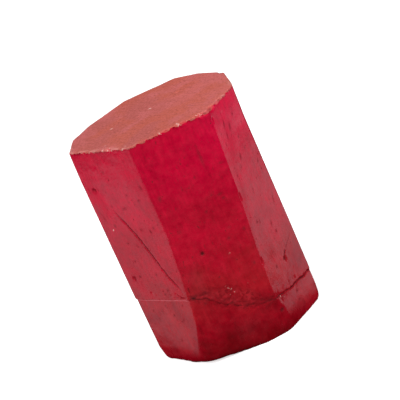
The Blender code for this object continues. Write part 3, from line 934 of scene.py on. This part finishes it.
# Colour of the painted highlight along the ledge's edge.
LEDGE_HIGHLIGHT_COLOUR = (0.80, 0.13, 0.16, 1)
PALE_RED = (0.75, 0.055, 0.085, 1)
RUBY_IOR = 1.76
STREAK_TURN = math.radians(-51)       # which way the fine streaks of the upper end run


def body_colour(n, place):
    """Crimson that is cloudy inside, streaked, and darker towards the base, partly as painted shade: (colour,
    dark flecks).
    """
    axes = n.axes(place)
    clouds = n.noise(place, 0.2, 4.0, 0.55, 0.6)
    mottle = n.noise(place, 0.8, 4.0, 0.6, 0.4)
    grain = n.noise(place, 2.6, 3.0, 0.6)
    streaks = n.noise(n.place((0.45, 0.45, 3.5)), 1.0, 4.0, 0.6, 0.2)
    # The darkening towards the base is partly the stone's own colour and partly painted shade of light
    # falling from above.
    level = n.math("ADD", axes["Z"], n.times(n.math("SUBTRACT", clouds, 0.5), 14.0))
    # Painted light: the outer sides stay lighter low down, where the lamps at the sides light them.
    painted_side_light = n.ramp(n.math("ABSOLUTE", axes["X"]), 6.0, 12.0, 0.0, 5.0)
    level = n.math("ADD", level, n.times(painted_side_light, n.ramp(axes["Z"], 3.0, 10.0, 1.0, 0.0)))
    body = n.mix(n.ramp(level, 0.0, 7.0), RUBY_LOW, RUBY_BLOCK)
    body = n.mix(n.ramp(level, 5.0, 11.0), body, RUBY_WARM)
    body = n.mix(n.ramp(level, 11.0, 18.0), body, RUBY_MIDDLE)
    body = n.mix(n.ramp(level, 17.0, 34.0), body, RUBY_BRIGHT)
    # Painted glow: a lighter, rosier crimson at the top right, standing in for light that shines through the
    # stone there.
    painted_glow = n.times(n.ramp(axes["X"], 1.0, 12.0), n.ramp(axes["Z"], 28.0, 38.0))
    body = n.mix(painted_glow, body, RUBY_PAINTED_GLOW)
    shade = 1.0
    for value, strength in ((clouds, 0.5), (mottle, 0.6), (grain, 0.35), (streaks, 0.5)):
        shade = n.math("ADD", n.times(n.math("SUBTRACT", value, 0.5), strength), shade)
    scale = n.add("ShaderNodeVectorMath", operation="SCALE")
    n.put(scale.inputs["Vector"], body)
    n.put(scale.inputs["Scale"], shade)
    flecks = n.noise(n.place((0.3, 0.3, 0.7)), 1.0, 3.0, 0.6, 0.5)
    flecks = n.times(n.ramp(flecks, 0.62, 0.72), n.ramp(mottle, 0.4, 0.6, 0.3, 0.8))
    flecks = n.times(flecks, n.ramp(axes["Z"], 6.0, 14.0, 0.35, 1.0))
    return n.mix(flecks, scale.outputs[0], RUBY_FLECK), flecks


def with_damage(n, place, body, flecks):
    """Darkens cracks, pits and the crumbled band, and lightens fresh edges: (colour, darkness). Much of this
    is painted light: shade in the cracks, pits and open fracture, a shadow along the band's top, shade under
    the rim and a highlight on the ledge.
    """
    crumbs = n.noise(place, 1.5, 4.0, 0.62, 0.4)
    crushed = n.mark("crushed")
    rubble = n.times(n.mark("rubble"), n.ramp(n.noise(place, 0.75, 4.0, 0.6), 0.42, 0.56))
    body = n.mix(rubble, body, RUBY_DEEP)
    body = n.mix(n.times(crushed, n.ramp(crumbs, 0.48, 0.62, 0.0, 0.8)), body, RUBY_DEEP)
    body = n.mix(n.times(crushed, n.ramp(crumbs, 0.46, 0.36, 0.0, 0.12)), body, PALE_RED)
    # Painted shadow: a soft, broken dark line along the crushed band's upper edge.
    band_edge_shadow = n.times(n.mark("band_edge_shadow"), n.ramp(n.noise(place, 0.45, 3.0), 0.42, 0.58, 0.0, 0.6))
    body = n.mix(band_edge_shadow, body, RUBY_DEEP)
    # Dark crushed strip just under the rim: partly the crushed stone, partly painted shade where the side
    # turns into the upper end.
    rim_crush_and_shade = n.times(n.mark("rim"), n.ramp(n.noise(place, 0.9, 4.0, 0.65), 0.46, 0.56, 0.1, 1.0))
    body = n.mix(rim_crush_and_shade, body, RUBY_RIM_CRUSH_AND_SHADE)
    gap = n.math("ABSOLUTE", n.mark("gap"))
    opening = n.times(n.mark("opening"), n.ramp(n.noise(place, 0.7, 2.0), 0.35, 0.5, 0.35, 1.0))
    # Painted shade: a dark line in the open fracture's groove and along each crack, partly their own dark and
    # partly the shade in their grooves.
    line = n.times(n.ramp(gap, 0.05, 0.2, 1.0, 0.0), opening)
    crack = n.math("ABSOLUTE", n.mark("crack"))
    crack_line = n.times(n.ramp(crack, 0.03, 0.17, 1.0, 0.0), n.mark("crack_strength"))
    # The dark marks at the pits are painted shade in their hollows.
    dark = n.math("MAXIMUM", n.math("MAXIMUM", line, crack_line), n.mark("dark"))
    dark = n.times(dark, n.ramp(crumbs, 0.3, 0.5, 0.45, 0.85))
    body = n.mix(dark, body, RUBY_DARK)
    dark = n.math("MAXIMUM", dark, flecks)
    # Painted highlight: a pale line along the edge of the ledge just below the fracture.
    below = n.math("ABSOLUTE", n.math("ADD", n.mark("gap"), 0.12))
    ledge = n.times(n.mark("ledge"), n.ramp(below, 0.08, 0.26, 1.0, 0.0))
    body = n.mix(n.times(ledge, 0.75), body, LEDGE_HIGHLIGHT_COLOUR)
    fresh = n.times(n.mark("chip"), n.ramp(n.noise(place, 2.4, 3.0), 0.5, 0.65, 0.0, 0.5))
    body = n.mix(fresh, body, PALE_RED)
    return body, dark


def upper_colour(n, place):
    """The matte, brownish upper end with its fine parallel streaks: (colour, streaks)."""
    patches = n.noise(place, 0.13, 3.0, 0.5, 0.4)
    streaks = n.noise(n.place((3.0, 0.3, 1.0), STREAK_TURN), 1.0, 4.0, 0.62, 0.1)
    speckle = n.noise(place, 2.6, 4.0, 0.75)
    axes = n.axes(place)
    upper = n.mix(n.ramp(axes["X"], -2.0, 9.0), UPPER_END, UPPER_END_LIGHT)
    upper = n.mix(n.ramp(patches, 0.4, 0.6, 0.0, 0.8), upper, UPPER_END_WARM)
    upper = n.mix(n.ramp(n.noise(place, 0.21, 2.0, 0.5), 0.5, 0.66, 0.0, 0.7), upper, UPPER_END_PINK)
    upper = n.mix(n.ramp(streaks, 0.5, 0.34, 0.0, 0.4), upper, UPPER_END_DARK)
    upper = n.mix(n.ramp(speckle, 0.5, 0.66, 0.0, 0.9), upper, UPPER_END_PINK)
    upper = n.mix(n.ramp(speckle, 0.5, 0.34, 0.0, 0.9), upper, UPPER_END_DARK)
    rim = n.times(n.mark("rim"), n.ramp(n.noise(place, 0.5, 3.0), 0.48, 0.62, 0.0, 0.25))
    upper = n.mix(rim, upper, PALE)
    return upper, streaks


def ruby_material():
    """Dense glossy crimson with a matte, brownish upper end."""
    n = Nodes("ruby_skin")
    place = n.place()
    body, dark = with_damage(n, place, *body_colour(n, place))
    upper, streaks = upper_colour(n, place)
    fray = n.ramp(n.noise(place, 1.3, 4.0, 0.65), 0.35, 0.65, 0.25, 0.95)
    on_top = n.ramp(n.math("SUBTRACT", n.mark("upper_end"), fray), -0.08, 0.05)
    on_top = n.times(on_top, n.ramp(n.mark("chip"), 0.2, 0.9, 1.0, 0.5))
    colour = n.mix(on_top, body, upper)
    sparkle = n.math("ADD", n.mark("pale"), n.ramp(n.noise(place, 3.4, 2.0, 0.6), 0.35, 0.65, -0.55, 0.2))
    colour = n.mix(n.ramp(sparkle, 0.3, 0.7), colour, PALE)

    gloss = n.ramp(n.noise(place, 0.8, 4.0, 0.6), 0.3, 0.7, 0.13, 0.25)
    gloss = n.math("ADD", gloss, n.times(dark, 0.45))
    for name, rougher in (("rubble", 0.1), ("crushed", 0.08), ("flake", 0.1), ("dull", 0.3)):
        gloss = n.math("ADD", gloss, n.times(n.mark(name), rougher))
    gloss = n.math("ADD", gloss, n.times(on_top, 0.45), clamp=True)

    fine = n.add("ShaderNodeBump")
    fine.inputs["Strength"].default_value = 0.5
    fine.inputs["Distance"].default_value = 0.03 * MM
    relief = n.math("ADD", n.noise(place, 1.8, 3.0, 0.55), n.times(streaks, on_top))
    n.put(fine.inputs["Height"], relief)
    n.shade({"Base Color": colour, "Roughness": gloss, "IOR": RUBY_IOR, "Normal": fine.outputs[0]})
    return n.material


def floor_material():
    """Plain pale grey that glows a little, so that it shows as white."""
    n = Nodes("pale_floor")
    n.shade({"Base Color": (0.86, 0.86, 0.86, 1), "Emission Color": (1, 1, 1, 1), "Emission Strength": 0.65,
             "Roughness": 0.9, "Specular IOR Level": 0.1})
    n.material.cycles.emission_sampling = "NONE"
    return n.material


def build_floor():
    """The floor, which the camera sees but the crystal doesn't reflect."""
    half = FLOOR_SIZE / 2
    corners = [(-half, -half, 0), (half, -half, 0), (half, half, 0), (-half, half, 0)]
    floor = panel("floor", corners, floor_material())
    floor.visible_glossy = False
    floor.visible_diffuse = False


def soft_box(name, place, aim, size, power):
    """A soft studio lamp that faces its aim, in metres and watts."""
    lamp = bpy.data.lights.new(name, "AREA")
    lamp.shape = "RECTANGLE"
    lamp.size, lamp.size_y = size
    lamp.energy = power
    item = new_object(name, lamp)
    item.location = place
    item.rotation_mode = "QUATERNION"
    item.rotation_quaternion = (Vector(place) - Vector(aim)).to_track_quat("Z", "Y")
    item.visible_glossy = False
    item.visible_camera = False


def card(name, x, corners, brightness):
    """A bright card that only shows in the crystal's gloss."""
    n = Nodes(name)
    height = n.axes(n.add("ShaderNodeTexCoord").outputs["Object"])["Z"]
    n.shade({"Base Color": (0, 0, 0, 1), "Specular IOR Level": 0.0, "Emission Color": CARD_COLOUR,
             "Emission Strength": n.levels(height, brightness)})
    item = panel(name, [(x, y, z) for y, z in corners], n.material)
    item.visible_camera = False
    item.visible_diffuse = False
    item.visible_shadow = False


def build_lights():
    """Two soft boxes at the front, the cards, and an even white room."""
    middle = Vector((0.0, 0.0, LIGHT_AIM))
    soft_box("key", middle + KEY_SIDE.normalized() * LAMP_DISTANCE, middle, LAMP_SIZE, KEY_POWER)
    soft_box("fill", middle + FILL_SIDE.normalized() * LAMP_DISTANCE, middle, LAMP_SIZE, FILL_POWER)
    for name, settings in CARDS.items():
        card(name, **settings)
    world = bpy.data.worlds.new("studio")
    bpy.context.scene.world = world
    world.use_nodes = True
    background = world.node_tree.nodes["Background"]
    background.inputs["Color"].default_value = (1, 1, 1, 1)
    background.inputs["Strength"].default_value = ROOM_LIGHT
    world.cycles_visibility.glossy = False


def build_camera():
    """The photograph's view: from the front, looking down, with the crystal's top leaning to the left."""
    forward = Vector((0, math.cos(CAMERA_TILT), -math.sin(CAMERA_TILT)))
    right = Vector((1, 0, 0))
    up = right.cross(forward)
    aim = Vector((0, 0, AIM_HEIGHT)) + right * AIM_RIGHT + up * AIM_UP
    data = bpy.data.cameras.new("camera")
    data.lens = CAMERA_LENS
    data.sensor_width = SENSOR
    data.clip_start = 0.01
    camera = new_object("camera", data)
    turned = Matrix((right, up, -forward)).transposed() @ Matrix.Rotation(-CAMERA_ROLL, 3, "Z")
    camera.matrix_world = Matrix.Translation(aim - forward * CAMERA_DISTANCE) @ turned.to_4x4()
    bpy.context.scene.camera = camera


def main():
    """Builds the crystal on the frame, and the studio round it."""
    build_camera()
    crystal = build_crystal()
    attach(crystal, "root")
    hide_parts("ruby_crystal")
    build_floor()
    build_lights()
    bpy.context.scene.view_settings.view_transform = "Standard"


main()
